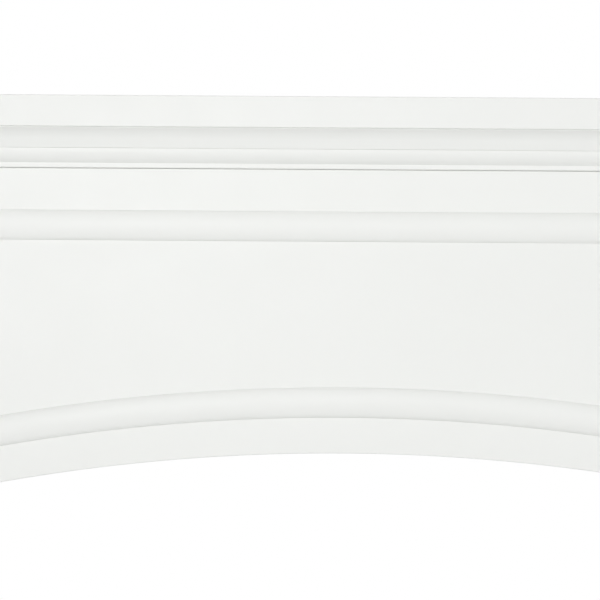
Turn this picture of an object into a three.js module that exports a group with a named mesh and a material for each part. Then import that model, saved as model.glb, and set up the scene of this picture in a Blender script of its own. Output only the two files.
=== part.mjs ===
// Painted fireplace mantelpiece: a shelf on a moulded cornice, a frieze board with an arched underside and a
// raised bead frame, and two hollow legs on plinths, open at the back towards the wall.
// Millimetres, +Z up. The front looks along -Y. The origin is on the floor under the middle of the shelf.
import * as THREE from "three";

// Driving dimensions
const TOTAL_HEIGHT = 1370; // floor to the top of the shelf
const OPENING_WIDTH = 1220; // between the legs
const LEG_WIDTH = 200;
const BODY_DEPTH = 130; // wall to the face of the legs and the frieze
const SHELF_OVERHANG = 23; // past the body's face and past its two sides
const SHELF_THICKNESS = 26.5;
const BOARD = 19; // thickness of the flat boards
const SOFFIT_THICKNESS = 12; // the bent lining under the arch
const ARCH_RADIUS = 1620; // lower edge of the frieze board
const FRIEZE_BAND = 36; // flat band between the cornice and the top bead
const PANEL_AT_CROWN = 124; // panel height over the arch's crown, between the beads
const MARGIN = 30.5; // flat border between a bead frame and the edge of its board

// Bead: the upper part of a flat oval on a shallow square lip
const BEAD_WIDTH = 25.5;
const BEAD_CUT = THREE.MathUtils.degToRad(9); // how far above its middle the oval is cut off
const BEAD_RISE = 0.45; // the oval's height to its width
const BEAD_LIP = 0.6;

// Cornice section from its foot upwards: fillet, ovolo, quirk, a slope that turns into a cove, thin top edge
const FILLET_HEIGHT = 4.2;
const FILLET_PROJECTION = 2;
const OVOLO_RADIUS = 13.2;
const OVOLO_TURN = THREE.MathUtils.degToRad(58); // how far its foot leans back from upright
const QUIRK_HEIGHT = 1.2;
const QUIRK_STEP = 1.5;
const COVE_SLOPE_HEIGHT = 7.8;
const COVE_SLOPE = THREE.MathUtils.degToRad(22); // lean of the slope and of the cove's foot
const COVE_TURN = THREE.MathUtils.degToRad(60); // lean of the cove's head
const COVE_RADIUS = 17.9;
const CORNICE_EDGE = 0.5;

// Plinth: a flat board with a step and a quarter round along its top
const PLINTH_HEIGHT = 140;
const PLINTH_THICKNESS = 14;
const PLINTH_STEP = 2.5;
const PLINTH_ROUND = 8;

// Joints and smoothness
const JOINT = 0.3; // clearance between glued pieces
const MITRE_GAP = 0.2; // each run stops this far short of its mitre
const SECTION_SEGMENTS = 5; // half the steps of each arc in a moulding's section
const ARCH_STEPS = 48;

// Levels and planes that follow from the driving dimensions
const SHELF_DEPTH = BODY_DEPTH + SHELF_OVERHANG;
const WALL_Y = SHELF_DEPTH / 2;
const FACE_Y = WALL_Y - BODY_DEPTH;
const BACK_OF_FACE_Y = FACE_Y + BOARD;
const OPENING_HALF = OPENING_WIDTH / 2;
const BODY_HALF = OPENING_HALF + LEG_WIDTH;
const OVAL_HALF_WIDTH = BEAD_WIDTH / 2 / Math.cos(BEAD_CUT);
const OVAL_HALF_HEIGHT = BEAD_RISE * OVAL_HALF_WIDTH;
const OVOLO_TOP = FILLET_HEIGHT + OVOLO_RADIUS * Math.sin(OVOLO_TURN);
const COVE_FOOT = OVOLO_TOP + QUIRK_HEIGHT + COVE_SLOPE_HEIGHT;
const COVE_TOP = COVE_FOOT + COVE_RADIUS * (Math.sin(COVE_TURN) - Math.sin(COVE_SLOPE));
const CORNICE_HEIGHT = COVE_TOP + CORNICE_EDGE;
const SHELF_UNDERSIDE = TOTAL_HEIGHT - SHELF_THICKNESS;
const CORNICE_FOOT = SHELF_UNDERSIDE - JOINT - CORNICE_HEIGHT;
const BODY_TOP = CORNICE_FOOT - JOINT;
const BEAD_TOP = CORNICE_FOOT - FRIEZE_BAND;
const ARCH_CROWN = BEAD_TOP - BEAD_WIDTH - PANEL_AT_CROWN - BEAD_WIDTH - MARGIN;
const ARCH_CENTRE = ARCH_CROWN - ARCH_RADIUS;

const PAINT = { color: 0xf3f4f1, roughness: 0.45, metalness: 0 };
const lerp = THREE.MathUtils.lerp;

function piece(name, geometry) {
  const mesh = new THREE.Mesh(geometry, new THREE.MeshStandardMaterial(PAINT));
  mesh.name = name;
  return mesh;
}

// A flat board between two opposite corners.
function board(name, low, high) {
  const size = new THREE.Vector3().subVectors(high, low);
  const mesh = piece(name, new THREE.BoxGeometry(size.x, size.y, size.z));
  mesh.position.addVectors(low, high).multiplyScalar(0.5);
  return mesh;
}

// A board cut to an outline in the plane of the wall, from frontY back to backY.
function cutBoard(name, outline, frontY, backY) {
  const options = { depth: backY - frontY, bevelEnabled: false, curveSegments: ARCH_STEPS / 2 };
  const mesh = piece(name, new THREE.ExtrudeGeometry(outline, options));
  mesh.rotation.x = Math.PI / 2;
  mesh.position.y = backY;
  return mesh;
}

// A moulding: its section is extruded along a run of unit length, then place(a, b, along) puts each point.
// The section's two directions and the run make a right-handed set, so the faces point outwards.
function moulding(name, section, place, steps = 1) {
  const options = { depth: 1, steps, bevelEnabled: false, curveSegments: SECTION_SEGMENTS };
  const geometry = new THREE.ExtrudeGeometry(section, options);
  const points = geometry.getAttribute("position");
  for (let i = 0; i < points.count; i++) {
    points.setXYZ(i, ...place(points.getX(i), points.getY(i), points.getZ(i)));
  }
  geometry.computeVertexNormals();
  return piece(name, geometry);
}

// Sections: x runs out of the face that carries the moulding, y runs up it

function corniceSection() {
  const ovoloNose = FILLET_PROJECTION + OVOLO_RADIUS * (1 - Math.cos(OVOLO_TURN));
  const slopeFoot = ovoloNose + QUIRK_STEP;
  const slopeHead = slopeFoot + COVE_SLOPE_HEIGHT * Math.tan(COVE_SLOPE);
  const coveX = slopeHead + COVE_RADIUS * Math.cos(COVE_SLOPE);
  const coveY = COVE_FOOT - COVE_RADIUS * Math.sin(COVE_SLOPE);
  const coveNose = coveX - COVE_RADIUS * Math.cos(COVE_TURN);
  const section = new THREE.Shape();
  section.moveTo(-BOARD, 0);
  section.lineTo(FILLET_PROJECTION, 0);
  section.lineTo(FILLET_PROJECTION, FILLET_HEIGHT);
  section.absarc(ovoloNose - OVOLO_RADIUS, OVOLO_TOP, OVOLO_RADIUS, -OVOLO_TURN, 0, false);
  section.lineTo(ovoloNose, OVOLO_TOP + QUIRK_HEIGHT);
  section.lineTo(slopeFoot, OVOLO_TOP + QUIRK_HEIGHT);
  section.lineTo(slopeHead, COVE_FOOT);
  section.absarc(coveX, coveY, COVE_RADIUS, Math.PI - COVE_SLOPE, Math.PI - COVE_TURN, true);
  section.lineTo(coveNose, CORNICE_HEIGHT);
  section.lineTo(-BOARD, CORNICE_HEIGHT);
  return section;
}

function plinthSection() {
  const roundFoot = PLINTH_HEIGHT - PLINTH_ROUND;
  const roundNose = PLINTH_THICKNESS - PLINTH_STEP;
  const section = new THREE.Shape();
  section.moveTo(JOINT, 0);
  section.lineTo(PLINTH_THICKNESS, 0);
  section.lineTo(PLINTH_THICKNESS, roundFoot);
  section.lineTo(roundNose, roundFoot);
  section.absarc(roundNose - PLINTH_ROUND, roundFoot, PLINTH_ROUND, 0, Math.PI / 2, false);
  section.lineTo(JOINT, PLINTH_HEIGHT);
  return section;
}

// The bead's section runs across the bead in x and out of the board in y.
function beadSection() {
  const lip = JOINT + BEAD_LIP;
  const middle = BEAD_WIDTH / 2;
  const centre = lip - OVAL_HALF_HEIGHT * Math.sin(BEAD_CUT);
  const section = new THREE.Shape();
  section.moveTo(0, JOINT);
  section.lineTo(BEAD_WIDTH, JOINT);
  section.lineTo(BEAD_WIDTH, lip);
  const end = Math.PI - BEAD_CUT;
  section.absellipse(middle, centre, OVAL_HALF_WIDTH, OVAL_HALF_HEIGHT, BEAD_CUT, end, false, 0);
  return section;
}

// Runs a section round the right side, the front and the left side of a box that stands against the wall.
function wrapRuns(section, left, right, foot, names) {
  const corner = (out) => FACE_Y - out + MITRE_GAP;
  const rightRun = (out, up, along) => [right + out, lerp(WALL_Y, corner(out), along), foot + up];
  const frontRun = (out, up, along) => {
    return [lerp(right + out - MITRE_GAP, left - out + MITRE_GAP, along), FACE_Y - out, foot + up];
  };
  const leftRun = (out, up, along) => [left - out, lerp(corner(out), WALL_Y, along), foot + up];
  return [
    moulding(names.right, section, rightRun),
    moulding(names.front, section, frontRun),
    moulding(names.left, section, leftRun),
  ];
}

// A mitred bead frame on the face: straight top and sides, and a bottom that follows bottom(x, inward).
function beadFrame(prefix, left, right, top, bottom, bottomName, bottomSteps) {
  const section = beadSection();
  const lower = (x, inward) => bottom(x, inward) + MITRE_GAP;
  const upper = (inward) => top - inward - MITRE_GAP;
  const topRun = (inward, out, along) => {
    const x = lerp(right - inward - MITRE_GAP, left + inward + MITRE_GAP, along);
    return [x, FACE_Y - out, top - inward];
  };
  const leftRun = (inward, out, along) => {
    const x = left + inward;
    return [x, FACE_Y - out, lerp(upper(inward), lower(x, inward), along)];
  };
  const bottomRun = (inward, out, along) => {
    const x = lerp(left + inward + MITRE_GAP, right - inward - MITRE_GAP, along);
    return [x, FACE_Y - out, bottom(x, inward)];
  };
  const rightRun = (inward, out, along) => {
    const x = right - inward;
    return [x, FACE_Y - out, lerp(lower(x, inward), upper(inward), along)];
  };
  return [
    moulding(prefix + "_bead_top", section, topRun),
    moulding(prefix + "_bead_left", section, leftRun),
    moulding(prefix + "_bead_" + bottomName, section, bottomRun, bottomSteps),
    moulding(prefix + "_bead_right", section, rightRun),
  ];
}

// Height of a line that runs parallel to the arch, inward from its lower edge.
function archHeight(x, inward) {
  return ARCH_CENTRE + Math.sqrt((ARCH_RADIUS + inward) ** 2 - x ** 2);
}

// Draws the arc of a given radius round the arch's centre, between x = from and x = to.
function drawArch(outline, radius, from, to) {
  const angle = (x) => Math.acos(x / radius);
  outline.absarc(0, ARCH_CENTRE, radius, angle(from), angle(to), from < to);
}

function shelfAndCornice() {
  const group = new THREE.Group();
  const shelfHalf = BODY_HALF + SHELF_OVERHANG;
  const low = new THREE.Vector3(-shelfHalf, -SHELF_DEPTH / 2, SHELF_UNDERSIDE);
  const high = new THREE.Vector3(shelfHalf, WALL_Y, TOTAL_HEIGHT);
  const names = { right: "cornice_right_return", front: "cornice_front", left: "cornice_left_return" };
  group.add(board("shelf", low, high));
  group.add(...wrapRuns(corniceSection(), -BODY_HALF, BODY_HALF, CORNICE_FOOT, names));
  return group;
}

function frieze() {
  const group = new THREE.Group();
  const half = OPENING_HALF - JOINT;
  const face = new THREE.Shape();
  drawArch(face, ARCH_RADIUS, -half, half);
  face.lineTo(half, BODY_TOP);
  face.lineTo(-half, BODY_TOP);
  group.add(cutBoard("frieze_board", face, FACE_Y, BACK_OF_FACE_Y));

  const lining = new THREE.Shape();
  drawArch(lining, ARCH_RADIUS, -half, half);
  drawArch(lining, ARCH_RADIUS + SOFFIT_THICKNESS, half, -half);
  group.add(cutBoard("arch_soffit", lining, BACK_OF_FACE_Y + JOINT, WALL_Y));

  const frameHalf = OPENING_HALF - MARGIN;
  const archBead = (x, inward) => archHeight(x, MARGIN + inward);
  group.add(...beadFrame("frieze", -frameHalf, frameHalf, BEAD_TOP, archBead, "arch", ARCH_STEPS));
  return group;
}

// One leg: face board, two side boards behind it, bead frame and plinth. side is -1 for left, 1 for right.
function leg(name, side) {
  const group = new THREE.Group();
  const inner = side * OPENING_HALF;
  const outer = side * BODY_HALF;
  const left = Math.min(inner, outer);
  const right = Math.max(inner, outer);
  const upright = (part, a, b, frontY, backY, top) => {
    const low = new THREE.Vector3(Math.min(a, b), frontY, 0);
    const high = new THREE.Vector3(Math.max(a, b), backY, top);
    return board(name + part, low, high);
  };
  const sideFront = BACK_OF_FACE_Y + JOINT;
  const innerTop = SHELF_UNDERSIDE - JOINT;
  group.add(upright("_face", inner, outer, FACE_Y, BACK_OF_FACE_Y, BODY_TOP));
  group.add(upright("_outer_side", outer, outer - side * BOARD, sideFront, WALL_Y, BODY_TOP));
  group.add(upright("_inner_side", inner, inner + side * BOARD, sideFront, WALL_Y, innerTop));

  const frameFoot = PLINTH_HEIGHT + MARGIN;
  const flat = (x, inward) => frameFoot + inward;
  group.add(...beadFrame(name, left + MARGIN, right - MARGIN, BEAD_TOP, flat, "bottom", 1));

  const outerName = name + "_plinth_outer_return";
  const innerName = name + "_plinth_inner_return";
  const names = {
    right: side > 0 ? outerName : innerName,
    front: name + "_plinth_front",
    left: side > 0 ? innerName : outerName,
  };
  group.add(...wrapRuns(plinthSection(), left, right, 0, names));
  return group;
}

const mantelpiece = new THREE.Group();
mantelpiece.add(shelfAndCornice(), frieze(), leg("left_leg", -1), leg("right_leg", 1));

export default mantelpiece;
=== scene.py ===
"""White painted fireplace mantelpiece: shelf, moulded cornice, arched frieze with beads, and panelled legs."""

import math

import bmesh
import bpy
from mathutils import Matrix, Vector


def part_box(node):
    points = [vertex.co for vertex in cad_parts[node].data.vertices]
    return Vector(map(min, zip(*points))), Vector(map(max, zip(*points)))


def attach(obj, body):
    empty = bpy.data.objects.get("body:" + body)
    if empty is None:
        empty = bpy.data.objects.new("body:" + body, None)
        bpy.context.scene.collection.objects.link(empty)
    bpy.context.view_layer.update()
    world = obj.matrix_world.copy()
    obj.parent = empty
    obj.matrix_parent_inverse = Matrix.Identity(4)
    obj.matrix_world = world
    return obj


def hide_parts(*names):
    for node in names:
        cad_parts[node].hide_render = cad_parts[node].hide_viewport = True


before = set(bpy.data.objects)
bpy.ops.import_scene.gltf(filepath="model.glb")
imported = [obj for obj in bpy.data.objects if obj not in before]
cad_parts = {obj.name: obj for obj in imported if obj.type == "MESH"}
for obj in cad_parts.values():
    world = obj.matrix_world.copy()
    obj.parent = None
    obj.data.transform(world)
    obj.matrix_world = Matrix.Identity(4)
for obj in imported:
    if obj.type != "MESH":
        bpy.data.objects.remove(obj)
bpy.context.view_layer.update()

MM = 0.001
BODY = "root"

# Planes and levels, read from the solids
FACE_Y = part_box("left_leg_face")[0].y
WALL_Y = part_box("shelf")[1].y
BODY_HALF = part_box("right_leg_face")[1].x
OPENING_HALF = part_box("right_leg_face")[0].x
CORNICE_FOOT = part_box("cornice_front")[0].z
BEAD_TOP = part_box("frieze_bead_top")[1].z
SOFFIT_THICKNESS = 12 * MM
ARCH_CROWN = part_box("arch_soffit")[1].z - SOFFIT_THICKNESS
ARCH_RADIUS = 1620 * MM
ARCH_CENTRE = ARCH_CROWN - ARCH_RADIUS
MARGIN = 30.5 * MM

# Bead: the upper part of a flat oval on a shallow square lip, with paint drawn into both corners beside it.
# BEAD_CUT is how far above its middle the oval is cut off, in degrees, and BEAD_RISE its height to its width.
BEAD_WIDTH = 25.5 * MM
BEAD_CUT = 9
BEAD_RISE = 0.45
BEAD_LIP = 0.6 * MM
BEAD_STEPS = 40
PAINT_FILLET = 0.35 * MM
PAINT_FILLET_STEPS = 5

# Cornice section from its foot upwards: fillet, ovolo, quirk, and a slope that turns into a cove.
# Its turns and its slope are in degrees.
CORNICE_BACK = 19 * MM
FILLET_HEIGHT = 4.2 * MM
FILLET_PROJECTION = 2 * MM
FILLET_ROUND = 1.2 * MM
OVOLO_RADIUS = 13.2 * MM
OVOLO_TURN = 58
QUIRK_HEIGHT = 1.2 * MM
QUIRK_STEP = 1.5 * MM
COVE_SLOPE_HEIGHT = 7.8 * MM
COVE_SLOPE = 22
COVE_TURN = 60
COVE_RADIUS = 17.9 * MM
CORNICE_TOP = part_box("shelf")[0].z - CORNICE_FOOT
CORNICE_SINK = 0.15 * MM
CORNICE_STEPS = 24

# Plinth: a flat board with a step and a quarter round along its top
PLINTH_HEIGHT = 140 * MM
PLINTH_THICKNESS = 14 * MM
PLINTH_STEP = 2.5 * MM
PLINTH_ROUND = 8 * MM
PLINTH_STEPS = 14

# Softened edges under the paint
ARRIS = 0.45 * MM
ARRIS_STEPS = 4
ROUND_STEPS = 8
BOARD_ARRIS = 0.9 * MM
SHELF_ARRIS = 0.7 * MM
SHARP_TURN = math.radians(35)
SHARP_SHADING = math.radians(40)
CORNER_SHARE = 0.45
BEVEL_STEPS = 3
FACING_LIMIT = 0.7
ARCH_STEPS = 160
GLUE_BED = 0.1 * MM
MITRE_GAP = 0.1 * MM


# Materials

# Places of the colour and number sockets in a Mix node
COLOUR_A, COLOUR_B, COLOUR_RESULT = 6, 7, 2
NUMBER_FACTOR, NUMBER_A, NUMBER_B, NUMBER_RESULT = 0, 2, 3, 0

# The part of a noise's range that is spread over a wanted range
NOISE_LOW, NOISE_HIGH = 0.3, 0.7

# Noises are given as scale, detail and roughness, reliefs as depth and strength
PAINT_TONES = (0.872, 0.882, 0.859), (0.884, 0.894, 0.872)
PAINT_SHEEN = 0.38, 0.48
DRIFT_NOISE = 5, 3
SHEEN_NOISE = 26, 2
WAVE_NOISE = 45, 1
WAVE_RELIEF = 0.4 * MM, 0.12
PEEL_NOISE = 700, 2
PEEL_RELIEF = 0.08 * MM, 0.25
PRIMER_TONES = (0.79, 0.77, 0.72), (0.70, 0.655, 0.58)
PRIMER_SHEEN = 0.72, 0.86
ROLLER_NOISE = 9, 4, 0.6
ROLLER_STRETCH = 1, 1, 0.25
NAP_NOISE = 420, 3
NAP_RELIEF = 0.15 * MM, 0.35
DULL_NOISE = 30, 2


def shader(material, kind, **values):
    node = material.node_tree.nodes.new(kind)
    for socket, value in values.items():
        node.inputs[socket.replace("_", " ")].default_value = value
    return node


def new_material(name):
    material = bpy.data.materials.new(name)
    material.use_nodes = True
    nodes = material.node_tree.nodes
    nodes.clear()
    output = nodes.new("ShaderNodeOutputMaterial")
    surface = nodes.new("ShaderNodeBsdfPrincipled")
    material.node_tree.links.new(surface.outputs["BSDF"], output.inputs["Surface"])
    return material, surface


def noise(material, place, scale, detail, roughness=0.5, stretch=None):
    """A noise over the piece, in its own coordinates; stretch lengthens it along an axis."""
    links = material.node_tree.links
    source = place.outputs["Object"]
    if stretch:
        mapping = shader(material, "ShaderNodeMapping", Scale=stretch)
        links.new(source, mapping.inputs["Vector"])
        source = mapping.outputs["Vector"]
    texture = shader(material, "ShaderNodeTexNoise", Scale=scale, Detail=detail, Roughness=roughness)
    links.new(source, texture.inputs["Vector"])
    return texture.outputs["Fac"]


def spread(material, value, low, high):
    """Maps a noise onto a range of values."""
    limits = {"From_Min": NOISE_LOW, "From_Max": NOISE_HIGH, "To_Min": low, "To_Max": high}
    ranged = shader(material, "ShaderNodeMapRange", **limits)
    material.node_tree.links.new(value, ranged.inputs["Value"])
    return ranged.outputs["Result"]


def tint(material, value, first, second):
    """Blends two colours by a value between 0 and 1."""
    mix = material.node_tree.nodes.new("ShaderNodeMix")
    mix.data_type = "RGBA"
    mix.inputs[COLOUR_A].default_value = (*first, 1)
    mix.inputs[COLOUR_B].default_value = (*second, 1)
    material.node_tree.links.new(value, mix.inputs["Factor"])
    return mix.outputs[COLOUR_RESULT]


def relief(material, height, depth, strength, under=None):
    bump = shader(material, "ShaderNodeBump", Strength=strength, Distance=depth)
    links = material.node_tree.links
    links.new(height, bump.inputs["Height"])
    if under:
        links.new(under, bump.inputs["Normal"])
    return bump.outputs["Normal"]


def satin_paint():
    """Sprayed white satin paint: a faint tone drift, uneven sheen, orange peel and slow waves in the film."""
    material, surface = new_material("white_satin_paint")
    links = material.node_tree.links
    place = material.node_tree.nodes.new("ShaderNodeTexCoord")
    drift = spread(material, noise(material, place, *DRIFT_NOISE), 0, 1)
    colour = tint(material, drift, *PAINT_TONES)
    sheen = spread(material, noise(material, place, *SHEEN_NOISE), *PAINT_SHEEN)
    waves = relief(material, noise(material, place, *WAVE_NOISE), *WAVE_RELIEF)
    peel = relief(material, noise(material, place, *PEEL_NOISE), *PEEL_RELIEF, waves)
    links.new(colour, surface.inputs["Base Color"])
    links.new(sheen, surface.inputs["Roughness"])
    links.new(peel, surface.inputs["Normal"])
    return material


def thin_primer():
    """One thin coat of primer on the hidden faces, with the board's brown showing through roller marks."""
    material, surface = new_material("thin_primer")
    links = material.node_tree.links
    place = material.node_tree.nodes.new("ShaderNodeTexCoord")
    marks = spread(material, noise(material, place, *ROLLER_NOISE, ROLLER_STRETCH), 0, 1)
    colour = tint(material, marks, *PRIMER_TONES)
    nap = relief(material, noise(material, place, *NAP_NOISE), *NAP_RELIEF)
    dull = spread(material, noise(material, place, *DULL_NOISE), *PRIMER_SHEEN)
    links.new(colour, surface.inputs["Base Color"])
    links.new(dull, surface.inputs["Roughness"])
    links.new(nap, surface.inputs["Normal"])
    return material


PAINT = satin_paint()
PRIMER = thin_primer()


# Sections: a is measured across or out of the face, b up it or out of the board


def arc_points(centre, radii, start, end, steps):
    """Points of an oval's arc, from one angle to another in degrees."""
    points = []
    for i in range(steps + 1):
        angle = math.radians(start + (end - start) * i / steps)
        points.append((centre[0] + radii[0] * math.cos(angle), centre[1] + radii[1] * math.sin(angle)))
    return points


def softened(outline, radius):
    """The outline with each sharp corner turned into a small round, as under paint."""
    points = []
    count = len(outline)
    for i in range(count):
        corner = Vector(outline[i])
        before = Vector(outline[i - 1]) - corner
        after = Vector(outline[(i + 1) % count]) - corner
        turn = math.pi - before.angle(after)
        if turn < SHARP_TURN:
            points.append(tuple(corner))
            continue
        cut = min(radius, CORNER_SHARE * before.length, CORNER_SHARE * after.length)
        start = corner + before.normalized() * cut
        end = corner + after.normalized() * cut
        for step in range(ARRIS_STEPS + 1):
            t = step / ARRIS_STEPS
            points.append(tuple(start * (1 - t) ** 2 + corner * 2 * t * (1 - t) + end * t ** 2))
    return points


def cornice_outline():
    """The cornice, up to where it closes against the shelf's underside."""
    turn, slope, head = (math.radians(angle) for angle in (OVOLO_TURN, COVE_SLOPE, COVE_TURN))
    ovolo_top = FILLET_HEIGHT + OVOLO_RADIUS * math.sin(turn)
    ovolo_nose = FILLET_PROJECTION + OVOLO_RADIUS * (1 - math.cos(turn))
    quirk_top = ovolo_top + QUIRK_HEIGHT
    slope_foot = ovolo_nose + QUIRK_STEP
    cove_centre = (
        slope_foot + COVE_SLOPE_HEIGHT * math.tan(slope) + COVE_RADIUS * math.cos(slope),
        quirk_top + COVE_SLOPE_HEIGHT - COVE_RADIUS * math.sin(slope),
    )
    cove_nose = cove_centre[0] - COVE_RADIUS * math.cos(head)
    ovolo_centre = (ovolo_nose - OVOLO_RADIUS, ovolo_top)
    ovolo = arc_points(ovolo_centre, (OVOLO_RADIUS,) * 2, -OVOLO_TURN, 0, CORNICE_STEPS)
    cove = arc_points(cove_centre, (COVE_RADIUS,) * 2, 180 - COVE_SLOPE, 180 - COVE_TURN, CORNICE_STEPS)
    round_centre = (FILLET_PROJECTION - FILLET_ROUND, FILLET_ROUND - CORNICE_SINK)
    nose = arc_points(round_centre, (FILLET_ROUND,) * 2, -90, 0, ROUND_STEPS)
    foot = [(-CORNICE_BACK, -CORNICE_SINK)] + nose
    quirk = [(ovolo_nose, quirk_top), (slope_foot, quirk_top)]
    return foot + ovolo + quirk + cove + [(cove_nose, CORNICE_TOP), (-CORNICE_BACK, CORNICE_TOP)]


def plinth_outline():
    round_foot = PLINTH_HEIGHT - PLINTH_ROUND
    round_nose = PLINTH_THICKNESS - PLINTH_STEP
    centre = (round_nose - PLINTH_ROUND, round_foot)
    nose = arc_points(centre, (PLINTH_ROUND,) * 2, 0, 90, PLINTH_STEPS)
    face = [(GLUE_BED, 0), (PLINTH_THICKNESS, 0), (PLINTH_THICKNESS, round_foot)]
    return face + nose + [(GLUE_BED, PLINTH_HEIGHT)]


def bead_outline():
    half = BEAD_WIDTH / 2
    oval_half = half / math.cos(math.radians(BEAD_CUT))
    oval = (oval_half, BEAD_RISE * oval_half)
    centre = (half, BEAD_LIP - oval[1] * math.sin(math.radians(BEAD_CUT)))
    crown = arc_points(centre, oval, BEAD_CUT, 180 - BEAD_CUT, BEAD_STEPS)
    fillet = (PAINT_FILLET, PAINT_FILLET)
    first = arc_points((-PAINT_FILLET, PAINT_FILLET), fillet, 0, -90, PAINT_FILLET_STEPS)
    last = arc_points((BEAD_WIDTH + PAINT_FILLET, PAINT_FILLET), fillet, 270, 180, PAINT_FILLET_STEPS)
    back = [(-PAINT_FILLET, -GLUE_BED), (BEAD_WIDTH + PAINT_FILLET, -GLUE_BED)]
    return back + last + crown + first


def section_object(name, outline):
    """A closed loop of edges that the moulding tree sweeps along a run."""
    points = [(a, b, 0) for a, b in softened(outline, ARRIS)]
    edges = [(i, (i + 1) % len(points)) for i in range(len(points))]
    mesh = bpy.data.meshes.new(name)
    mesh.from_pydata(points, edges, [])
    section = bpy.data.objects.new(name, mesh)
    bpy.context.scene.collection.objects.link(section)
    return section


# The moulding tree: a section swept along a run, mitred at both ends and bowed over an arch


def moulding_tree():
    tree = bpy.data.node_groups.new("moulding_run", "GeometryNodeTree")
    face = tree.interface
    sockets = {}
    face.new_socket("Geometry", in_out="INPUT", socket_type="NodeSocketGeometry")
    for name, kind in (
        ("Section", "NodeSocketObject"),
        ("Run Length", "NodeSocketFloat"),
        ("Steps", "NodeSocketInt"),
        ("Mitre Start", "NodeSocketFloat"),
        ("Mitre End", "NodeSocketFloat"),
        ("Arch Radius", "NodeSocketFloat"),
        ("Finish", "NodeSocketMaterial"),
    ):
        sockets[name] = face.new_socket(name, in_out="INPUT", socket_type=kind).identifier
    face.new_socket("Geometry", in_out="OUTPUT", socket_type="NodeSocketGeometry")

    nodes, link = tree.nodes, tree.links.new
    given = nodes.new("NodeGroupInput")
    result = nodes.new("NodeGroupOutput")

    def math_node(operation, *values):
        node = nodes.new("ShaderNodeMath")
        node.operation = operation
        for socket, value in zip(node.inputs, values):
            if isinstance(value, (int, float)):
                socket.default_value = value
            else:
                link(value, socket)
        return node.outputs[0]

    # A straight run along X, cut into steps
    end = nodes.new("ShaderNodeCombineXYZ")
    link(given.outputs["Run Length"], end.inputs["X"])
    line = nodes.new("GeometryNodeCurvePrimitiveLine")
    link(end.outputs[0], line.inputs["End"])
    stations = nodes.new("GeometryNodeResampleCurve")
    link(line.outputs["Curve"], stations.inputs["Curve"])
    link(math_node("ADD", given.outputs["Steps"], 1), stations.inputs["Count"])

    # The section along it
    section = nodes.new("GeometryNodeObjectInfo")
    link(given.outputs["Section"], section.inputs["Object"])
    loop = nodes.new("GeometryNodeMeshToCurve")
    link(section.outputs["Geometry"], loop.inputs["Mesh"])
    sweep = nodes.new("GeometryNodeCurveToMesh")
    sweep.inputs["Fill Caps"].default_value = True
    link(stations.outputs["Curve"], sweep.inputs["Curve"])
    link(loop.outputs["Curve"], sweep.inputs["Profile Curve"])

    # Mitres: each end moves along the run in step with the distance across the section
    position = nodes.new("GeometryNodeInputPosition")
    parts = nodes.new("ShaderNodeSeparateXYZ")
    link(position.outputs[0], parts.inputs[0])
    along, out = parts.outputs["X"], parts.outputs["Z"]
    across = math_node("MULTIPLY", parts.outputs["Y"], -1)
    share = math_node("DIVIDE", along, given.outputs["Run Length"])
    first = math_node("MULTIPLY", math_node("SUBTRACT", 1, share), given.outputs["Mitre Start"])
    last = math_node("MULTIPLY", share, given.outputs["Mitre End"])
    mitred = math_node("MULTIPLY_ADD", math_node("SUBTRACT", first, last), across, along)

    # Arch: the distance across becomes a height over the chord, where a radius is given
    middle = math_node("MULTIPLY_ADD", given.outputs["Run Length"], -0.5, mitred)
    reach = math_node("ADD", given.outputs["Arch Radius"], across)
    square = math_node("SUBTRACT", math_node("POWER", reach, 2), math_node("MULTIPLY", middle, middle))
    height = math_node("SQRT", math_node("MAXIMUM", square, 0))
    risen = math_node("SUBTRACT", height, given.outputs["Arch Radius"])
    bowed = math_node("GREATER_THAN", given.outputs["Arch Radius"], 0)
    chosen = nodes.new("ShaderNodeMix")
    link(bowed, chosen.inputs[NUMBER_FACTOR])
    link(across, chosen.inputs[NUMBER_A])
    link(risen, chosen.inputs[NUMBER_B])
    placed = nodes.new("ShaderNodeCombineXYZ")
    link(mitred, placed.inputs["X"])
    link(math_node("MULTIPLY", chosen.outputs[NUMBER_RESULT], -1), placed.inputs["Y"])
    link(out, placed.inputs["Z"])
    shaped = nodes.new("GeometryNodeSetPosition")
    link(sweep.outputs["Mesh"], shaped.inputs["Geometry"])
    link(placed.outputs[0], shaped.inputs["Position"])

    real = nodes.new("GeometryNodeRealizeInstances")
    link(shaped.outputs["Geometry"], real.inputs["Geometry"])
    finish = nodes.new("GeometryNodeSetMaterial")
    link(real.outputs["Geometry"], finish.inputs["Geometry"])
    link(given.outputs["Finish"], finish.inputs["Material"])
    link(finish.outputs["Geometry"], result.inputs[0])
    return tree, sockets


MOULDING, MOULDING_SOCKETS = moulding_tree()
SECTIONS = {
    "bead": section_object("bead_section", bead_outline()),
    "cornice": section_object("cornice_section", cornice_outline()),
    "plinth": section_object("plinth_section", plinth_outline()),
}


# Pieces


def evaluated_mesh(holder):
    bpy.context.view_layer.update()
    graph = bpy.context.evaluated_depsgraph_get()
    return bpy.data.meshes.new_from_object(holder.evaluated_get(graph))


def drop(holder):
    mesh = holder.data
    bpy.data.objects.remove(holder)
    bpy.data.meshes.remove(mesh)


def with_even_normals(mesh):
    """Smooth shading that leaves flat faces flat and keeps hard corners."""
    mesh.shade_smooth()
    mesh.set_sharp_from_angle(angle=SHARP_SHADING)
    holder = bpy.data.objects.new("normals", mesh)
    bpy.context.scene.collection.objects.link(holder)
    weighted = holder.modifiers.new("weighted", "WEIGHTED_NORMAL")
    weighted.keep_sharp = True
    result = evaluated_mesh(holder)
    drop(holder)
    return result


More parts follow.
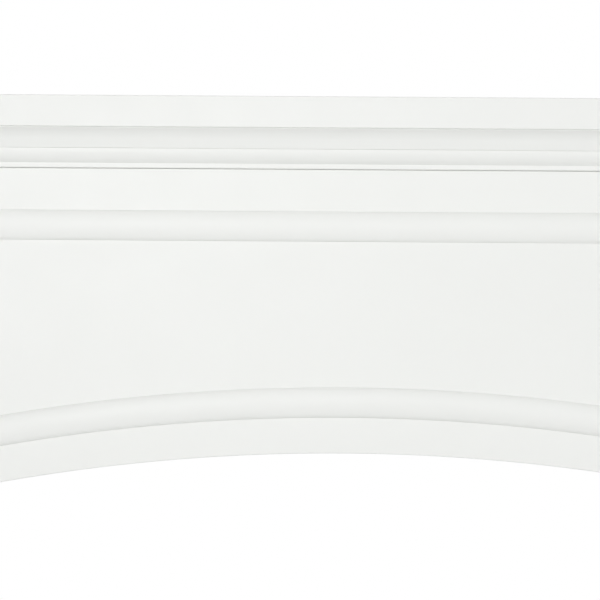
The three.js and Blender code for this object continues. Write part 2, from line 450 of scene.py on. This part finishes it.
def add_piece(node, mesh, hidden=None):
    """Makes the finished piece that stands for a solid. hidden tells the faces that only have primer."""
    mesh.materials.clear()
    mesh.materials.append(PAINT)
    mesh.materials.append(PRIMER)
    for polygon in mesh.polygons:
        polygon.material_index = 1 if hidden and hidden(polygon.normal, polygon.center) else 0
    mesh = with_even_normals(mesh)
    name = "painted_" + node
    mesh.name = name
    piece = bpy.data.objects.new(name, mesh)
    bpy.context.scene.collection.objects.link(piece)
    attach(piece, BODY)
    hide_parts(node)
    return piece


def add_moulding(node, section, start, across, out, length, mitres, arch_radius=0, hidden=None):
    """A moulding run from a start point. across and out are the section's two directions in the frame."""
    holder = bpy.data.objects.new("run", bpy.data.meshes.new("run"))
    bpy.context.scene.collection.objects.link(holder)
    modifier = holder.modifiers.new("moulding", "NODES")
    modifier.node_group = MOULDING
    values = {
        "Section": SECTIONS[section],
        "Run Length": length,
        "Steps": ARCH_STEPS if arch_radius else 1,
        "Mitre Start": mitres[0],
        "Mitre End": mitres[1],
        "Arch Radius": arch_radius,
        "Finish": PAINT,
    }
    for name, value in values.items():
        modifier[MOULDING_SOCKETS[name]] = value
    mesh = evaluated_mesh(holder)
    holder.modifiers.clear()
    drop(holder)
    along = across.cross(out)
    turn = Matrix((along, -across, -out)).transposed().to_4x4()
    mesh.transform(Matrix.Translation(start) @ turn)
    return add_piece(node, mesh, hidden)


def softened_edges(form, radius):
    sharp = [edge for edge in form.edges if edge.calc_face_angle(0) > SHARP_TURN]
    bmesh.ops.bevel(
        form, geom=sharp, offset=radius, segments=BEVEL_STEPS, profile=0.5, affect="EDGES", clamp_overlap=True
    )


def column_form(xs, lower, upper, front, back):
    """A closed board whose lower and upper edges follow two lines."""
    form = bmesh.new()
    rings = []
    for x in xs:
        low, high = lower(x), upper(x)
        corners = ((front, low), (back, low), (back, high), (front, high))
        rings.append([form.verts.new((x, y, z)) for y, z in corners])
    for ring, following in zip(rings, rings[1:]):
        for i in range(4):
            j = (i + 1) % 4
            form.faces.new((ring[i], ring[j], following[j], following[i]))
    form.faces.new(rings[0])
    form.faces.new(rings[-1])
    bmesh.ops.recalc_face_normals(form, faces=form.faces)
    return form


def add_board(node, radius, hidden=None, xs=None, lower=None, upper=None):
    """A board with softened edges, as large as its solid, or between two lines."""
    low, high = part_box(node)
    xs = xs or (low.x, high.x)
    form = column_form(xs, lower or (lambda x: low.z), upper or (lambda x: high.z), low.y, high.y)
    softened_edges(form, radius)
    mesh = bpy.data.meshes.new(node)
    form.to_mesh(mesh)
    form.free()
    return add_piece(node, mesh, hidden)


RIGHT = Vector((1, 0, 0))
UP = Vector((0, 0, 1))
FRONT = Vector((0, -1, 0))


def facing(*directions):
    """Faces that look along one of the directions."""
    return lambda normal, centre: any(normal.dot(direction) > FACING_LIMIT for direction in directions)


def add_wrap(section, left, right, foot, names):
    """A section round the right side, the front and the left side of a box that stands against the wall."""
    side = WALL_Y - FACE_Y - MITRE_GAP
    span = right - left - 2 * MITRE_GAP
    hidden = facing(-FRONT)
    add_moulding(names[0], section, Vector((right, WALL_Y, foot)), RIGHT, UP, side, (0, -1), hidden=hidden)
    add_moulding(names[1], section, Vector((right - MITRE_GAP, FACE_Y, foot)), FRONT, UP, span, (-1, -1))
    start = Vector((left, FACE_Y + MITRE_GAP, foot))
    add_moulding(names[2], section, start, -RIGHT, UP, side, (-1, 0), hidden=hidden)


def add_bead_frame(prefix, left, right, top, left_foot, foot_mitre):
    """The straight top and uprights of a bead frame. foot_mitre is the uprights' slope at their lower end."""
    width = right - left - 2 * MITRE_GAP
    height = top - left_foot - 2 * MITRE_GAP
    head = top - MITRE_GAP
    foot = left_foot + MITRE_GAP
    add_moulding(
        prefix + "_bead_top", "bead", Vector((right - MITRE_GAP, FACE_Y, top)), -UP, FRONT, width, (1, 1)
    )
    add_moulding(
        prefix + "_bead_left", "bead", Vector((left, FACE_Y, head)), RIGHT, FRONT, height, (1, foot_mitre)
    )
    add_moulding(
        prefix + "_bead_right", "bead", Vector((right, FACE_Y, foot)), -RIGHT, FRONT, height, (foot_mitre, 1)
    )


def arch_height(x, inward=0):
    return ARCH_CENTRE + math.sqrt((ARCH_RADIUS + inward) ** 2 - x ** 2)


def add_frieze():
    low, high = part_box("frieze_board")
    xs = [low.x + (high.x - low.x) * i / ARCH_STEPS for i in range(ARCH_STEPS + 1)]
    add_board("frieze_board", BOARD_ARRIS, facing(-FRONT), xs, arch_height)

    def lining_top(x):
        return arch_height(x, SOFFIT_THICKNESS)

    add_board("arch_soffit", BOARD_ARRIS, facing(-FRONT, UP), xs, arch_height, lining_top)

    half = OPENING_HALF - MARGIN
    outer_foot = arch_height(half, MARGIN)
    inner_foot = arch_height(half - BEAD_WIDTH, MARGIN + BEAD_WIDTH)
    foot_mitre = (inner_foot - outer_foot) / BEAD_WIDTH
    add_bead_frame("frieze", -half, half, BEAD_TOP, outer_foot, foot_mitre)
    radius = ARCH_RADIUS + MARGIN
    start = Vector((MITRE_GAP - half, FACE_Y, ARCH_CENTRE + radius))
    span = 2 * (half - MITRE_GAP)
    add_moulding("frieze_bead_arch", "bead", start, UP, FRONT, span, (1, 1), radius)


def add_leg(name, side):
    add_board(name + "_face", BOARD_ARRIS, facing(-FRONT))
    add_board(name + "_outer_side", BOARD_ARRIS, facing(-FRONT, -side * RIGHT))
    add_board(name + "_inner_side", BOARD_ARRIS, facing(-FRONT, side * RIGHT))

    low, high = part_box(name + "_face")
    left, right = low.x + MARGIN, high.x - MARGIN
    foot = PLINTH_HEIGHT + MARGIN
    add_bead_frame(name, left, right, BEAD_TOP, foot, 1)
    width = right - left - 2 * MITRE_GAP
    add_moulding(
        name + "_bead_bottom", "bead", Vector((left + MITRE_GAP, FACE_Y, foot)), UP, FRONT, width, (1, 1)
    )

    returns = [name + "_plinth_inner_return", name + "_plinth_outer_return"]
    right_return, left_return = returns[::-side]
    add_wrap("plinth", low.x, high.x, 0, (right_return, name + "_plinth_front", left_return))


add_board("shelf", SHELF_ARRIS, facing(-FRONT))
add_wrap(
    "cornice",
    -BODY_HALF,
    BODY_HALF,
    CORNICE_FOOT,
    ("cornice_right_return", "cornice_front", "cornice_left_return"),
)
add_frieze()
add_leg("left_leg", -1)
add_leg("right_leg", 1)
for section in SECTIONS.values():
    drop(section)


# Floor, light and camera

# FLOOR_TONE is the floor's colour for the light, SEEN_TONE its colour for the camera. From FADE_START to
# FADE_END it turns into an even SWEEP_TONE, which rises to white between SWEEP_START and SWEEP_END.
FLOOR_RADIUS = 9.5
FLOOR_SIDES = 96
FLOOR_TONE = 0.75
SEEN_TONE = 0.68
SWEEP_TONE = 0.67
FADE_START = 0.7
FADE_END = 3
SWEEP_START = 2.5
SWEEP_END = 9
FLOOR_ROUGHNESS = 0.9


def pale_floor():
    """A pale floor. The camera sees it a shade darker than the paint, fading into the white surroundings."""
    material, surface = new_material("pale_floor")
    nodes, links = material.node_tree.nodes, material.node_tree.links
    ray = nodes.new("ShaderNodeLightPath")
    seen = ray.outputs["Is Camera Ray"]
    tone = tint(material, seen, (FLOOR_TONE,) * 3, (SEEN_TONE,) * 3)
    links.new(tone, surface.inputs["Base Color"])
    surface.inputs["Roughness"].default_value = FLOOR_ROUGHNESS

    place = nodes.new("ShaderNodeTexCoord")
    distance = nodes.new("ShaderNodeVectorMath")
    distance.operation = "LENGTH"
    links.new(place.outputs["Object"], distance.inputs[0])
    limits = {"From_Min": SWEEP_START, "From_Max": SWEEP_END, "To_Min": SWEEP_TONE, "To_Max": 1}
    rise = shader(material, "ShaderNodeMapRange", **limits)
    links.new(distance.outputs["Value"], rise.inputs["Value"])
    sweep = shader(material, "ShaderNodeEmission", Color=(1, 1, 1, 1))
    links.new(rise.outputs["Result"], sweep.inputs["Strength"])
    limits = {"From_Min": FADE_START, "From_Max": FADE_END, "To_Min": 0, "To_Max": 1}
    fade = shader(material, "ShaderNodeMapRange", **limits)
    fade.interpolation_type = "SMOOTHSTEP"
    links.new(distance.outputs["Value"], fade.inputs["Value"])
    share = nodes.new("ShaderNodeMath")
    share.operation = "MULTIPLY"
    links.new(fade.outputs["Result"], share.inputs[0])
    links.new(seen, share.inputs[1])
    mix = nodes.new("ShaderNodeMixShader")
    links.new(share.outputs[0], mix.inputs[0])
    links.new(surface.outputs["BSDF"], mix.inputs[1])
    links.new(sweep.outputs["Emission"], mix.inputs[2])
    output = next(node for node in nodes if node.type == "OUTPUT_MATERIAL")
    links.new(mix.outputs[0], output.inputs["Surface"])
    return material


def add_floor():
    form = bmesh.new()
    bmesh.ops.create_circle(form, cap_ends=True, radius=FLOOR_RADIUS, segments=FLOOR_SIDES)
    mesh = bpy.data.meshes.new("studio_floor")
    form.to_mesh(mesh)
    form.free()
    mesh.materials.append(pale_floor())
    floor = bpy.data.objects.new("studio_floor", mesh)
    bpy.context.scene.collection.objects.link(floor)


def add_soft_light(name, place, target, size, watts, spread_angle=180):
    light = bpy.data.lights.new(name, "AREA")
    light.shape = "RECTANGLE"
    light.size, light.size_y = size
    light.energy = watts
    light.spread = math.radians(spread_angle)
    lamp = bpy.data.objects.new(name, light)
    lamp.location = place
    lamp.rotation_euler = (Vector(target) - Vector(place)).to_track_quat("-Z", "Y").to_euler()
    lamp.visible_camera = False
    bpy.context.scene.collection.objects.link(lamp)


def add_surroundings(strength):
    """Even white surroundings, plain white where the camera sees them."""
    world = bpy.data.worlds.new("studio")
    world.use_nodes = True
    nodes, links = world.node_tree.nodes, world.node_tree.links
    nodes.clear()
    output = nodes.new("ShaderNodeOutputWorld")
    seen = nodes.new("ShaderNodeBackground")
    seen.inputs["Strength"].default_value = 1.0
    seen.inputs["Color"].default_value = (1, 1, 1, 1)
    felt = nodes.new("ShaderNodeBackground")
    felt.inputs["Strength"].default_value = strength
    felt.inputs["Color"].default_value = (1, 1, 1, 1)
    ray = nodes.new("ShaderNodeLightPath")
    mix = nodes.new("ShaderNodeMixShader")
    links.new(ray.outputs["Is Camera Ray"], mix.inputs[0])
    links.new(felt.outputs[0], mix.inputs[1])
    links.new(seen.outputs[0], mix.inputs[2])
    links.new(mix.outputs[0], output.inputs["Surface"])
    bpy.context.scene.world = world


VIEW_DISTANCE = 2.8
FRAME_WIDTH = 0.510
VIEW_CENTRE = Vector((-0.0375, FACE_Y, 1.1982))
VIEW_ROLL = math.radians(0.38)
SENSOR = 36
VIEW_REACH = 100


def add_camera():
    camera = bpy.data.cameras.new("camera")
    camera.sensor_width = SENSOR
    camera.lens = SENSOR * VIEW_DISTANCE / FRAME_WIDTH
    camera.clip_end = VIEW_REACH
    holder = bpy.data.objects.new("camera", camera)
    holder.location = VIEW_CENTRE + FRONT * VIEW_DISTANCE
    holder.rotation_euler = (math.radians(90), -VIEW_ROLL, 0)
    bpy.context.scene.collection.objects.link(holder)
    bpy.context.scene.camera = holder


SURROUNDINGS_STRENGTH = 0.46
HEADER = (0, FACE_Y, 1.2)
BACK = (0, WALL_Y, 0.8)
BACK_SPREAD = 80

# Each front softbox: name, place, target, size, watts
FRONT_LIGHTS = (
    ("left_softbox", (-1.5, -2.5, 1.3), HEADER, (1.4, 1.4), 9.6),
    ("right_softbox", (1.5, -2.5, 1.3), HEADER, (1.4, 1.4), 18.2),
    ("high_front_softbox", (0, -2.2, 2.6), HEADER, (1.6, 1.6), 5.2),
    ("near_fill", (-0.25, -1.3, 1.35), (-0.1, FACE_Y, 1.3), (0.6, 0.5), 2.8),
)
BACK_LIGHTS = (
    ("back_left_softbox", (-2.2, 2.4, 1.9), BACK, (1.6, 1.6), 9),
    ("back_right_softbox", (2.2, 2.4, 1.9), BACK, (1.6, 1.6), 9),
)

add_floor()
add_surroundings(SURROUNDINGS_STRENGTH)
for settings in FRONT_LIGHTS:
    add_soft_light(*settings)
for settings in BACK_LIGHTS:
    add_soft_light(*settings, BACK_SPREAD)
add_camera()
bpy.context.scene.view_settings.view_transform = "Standard"
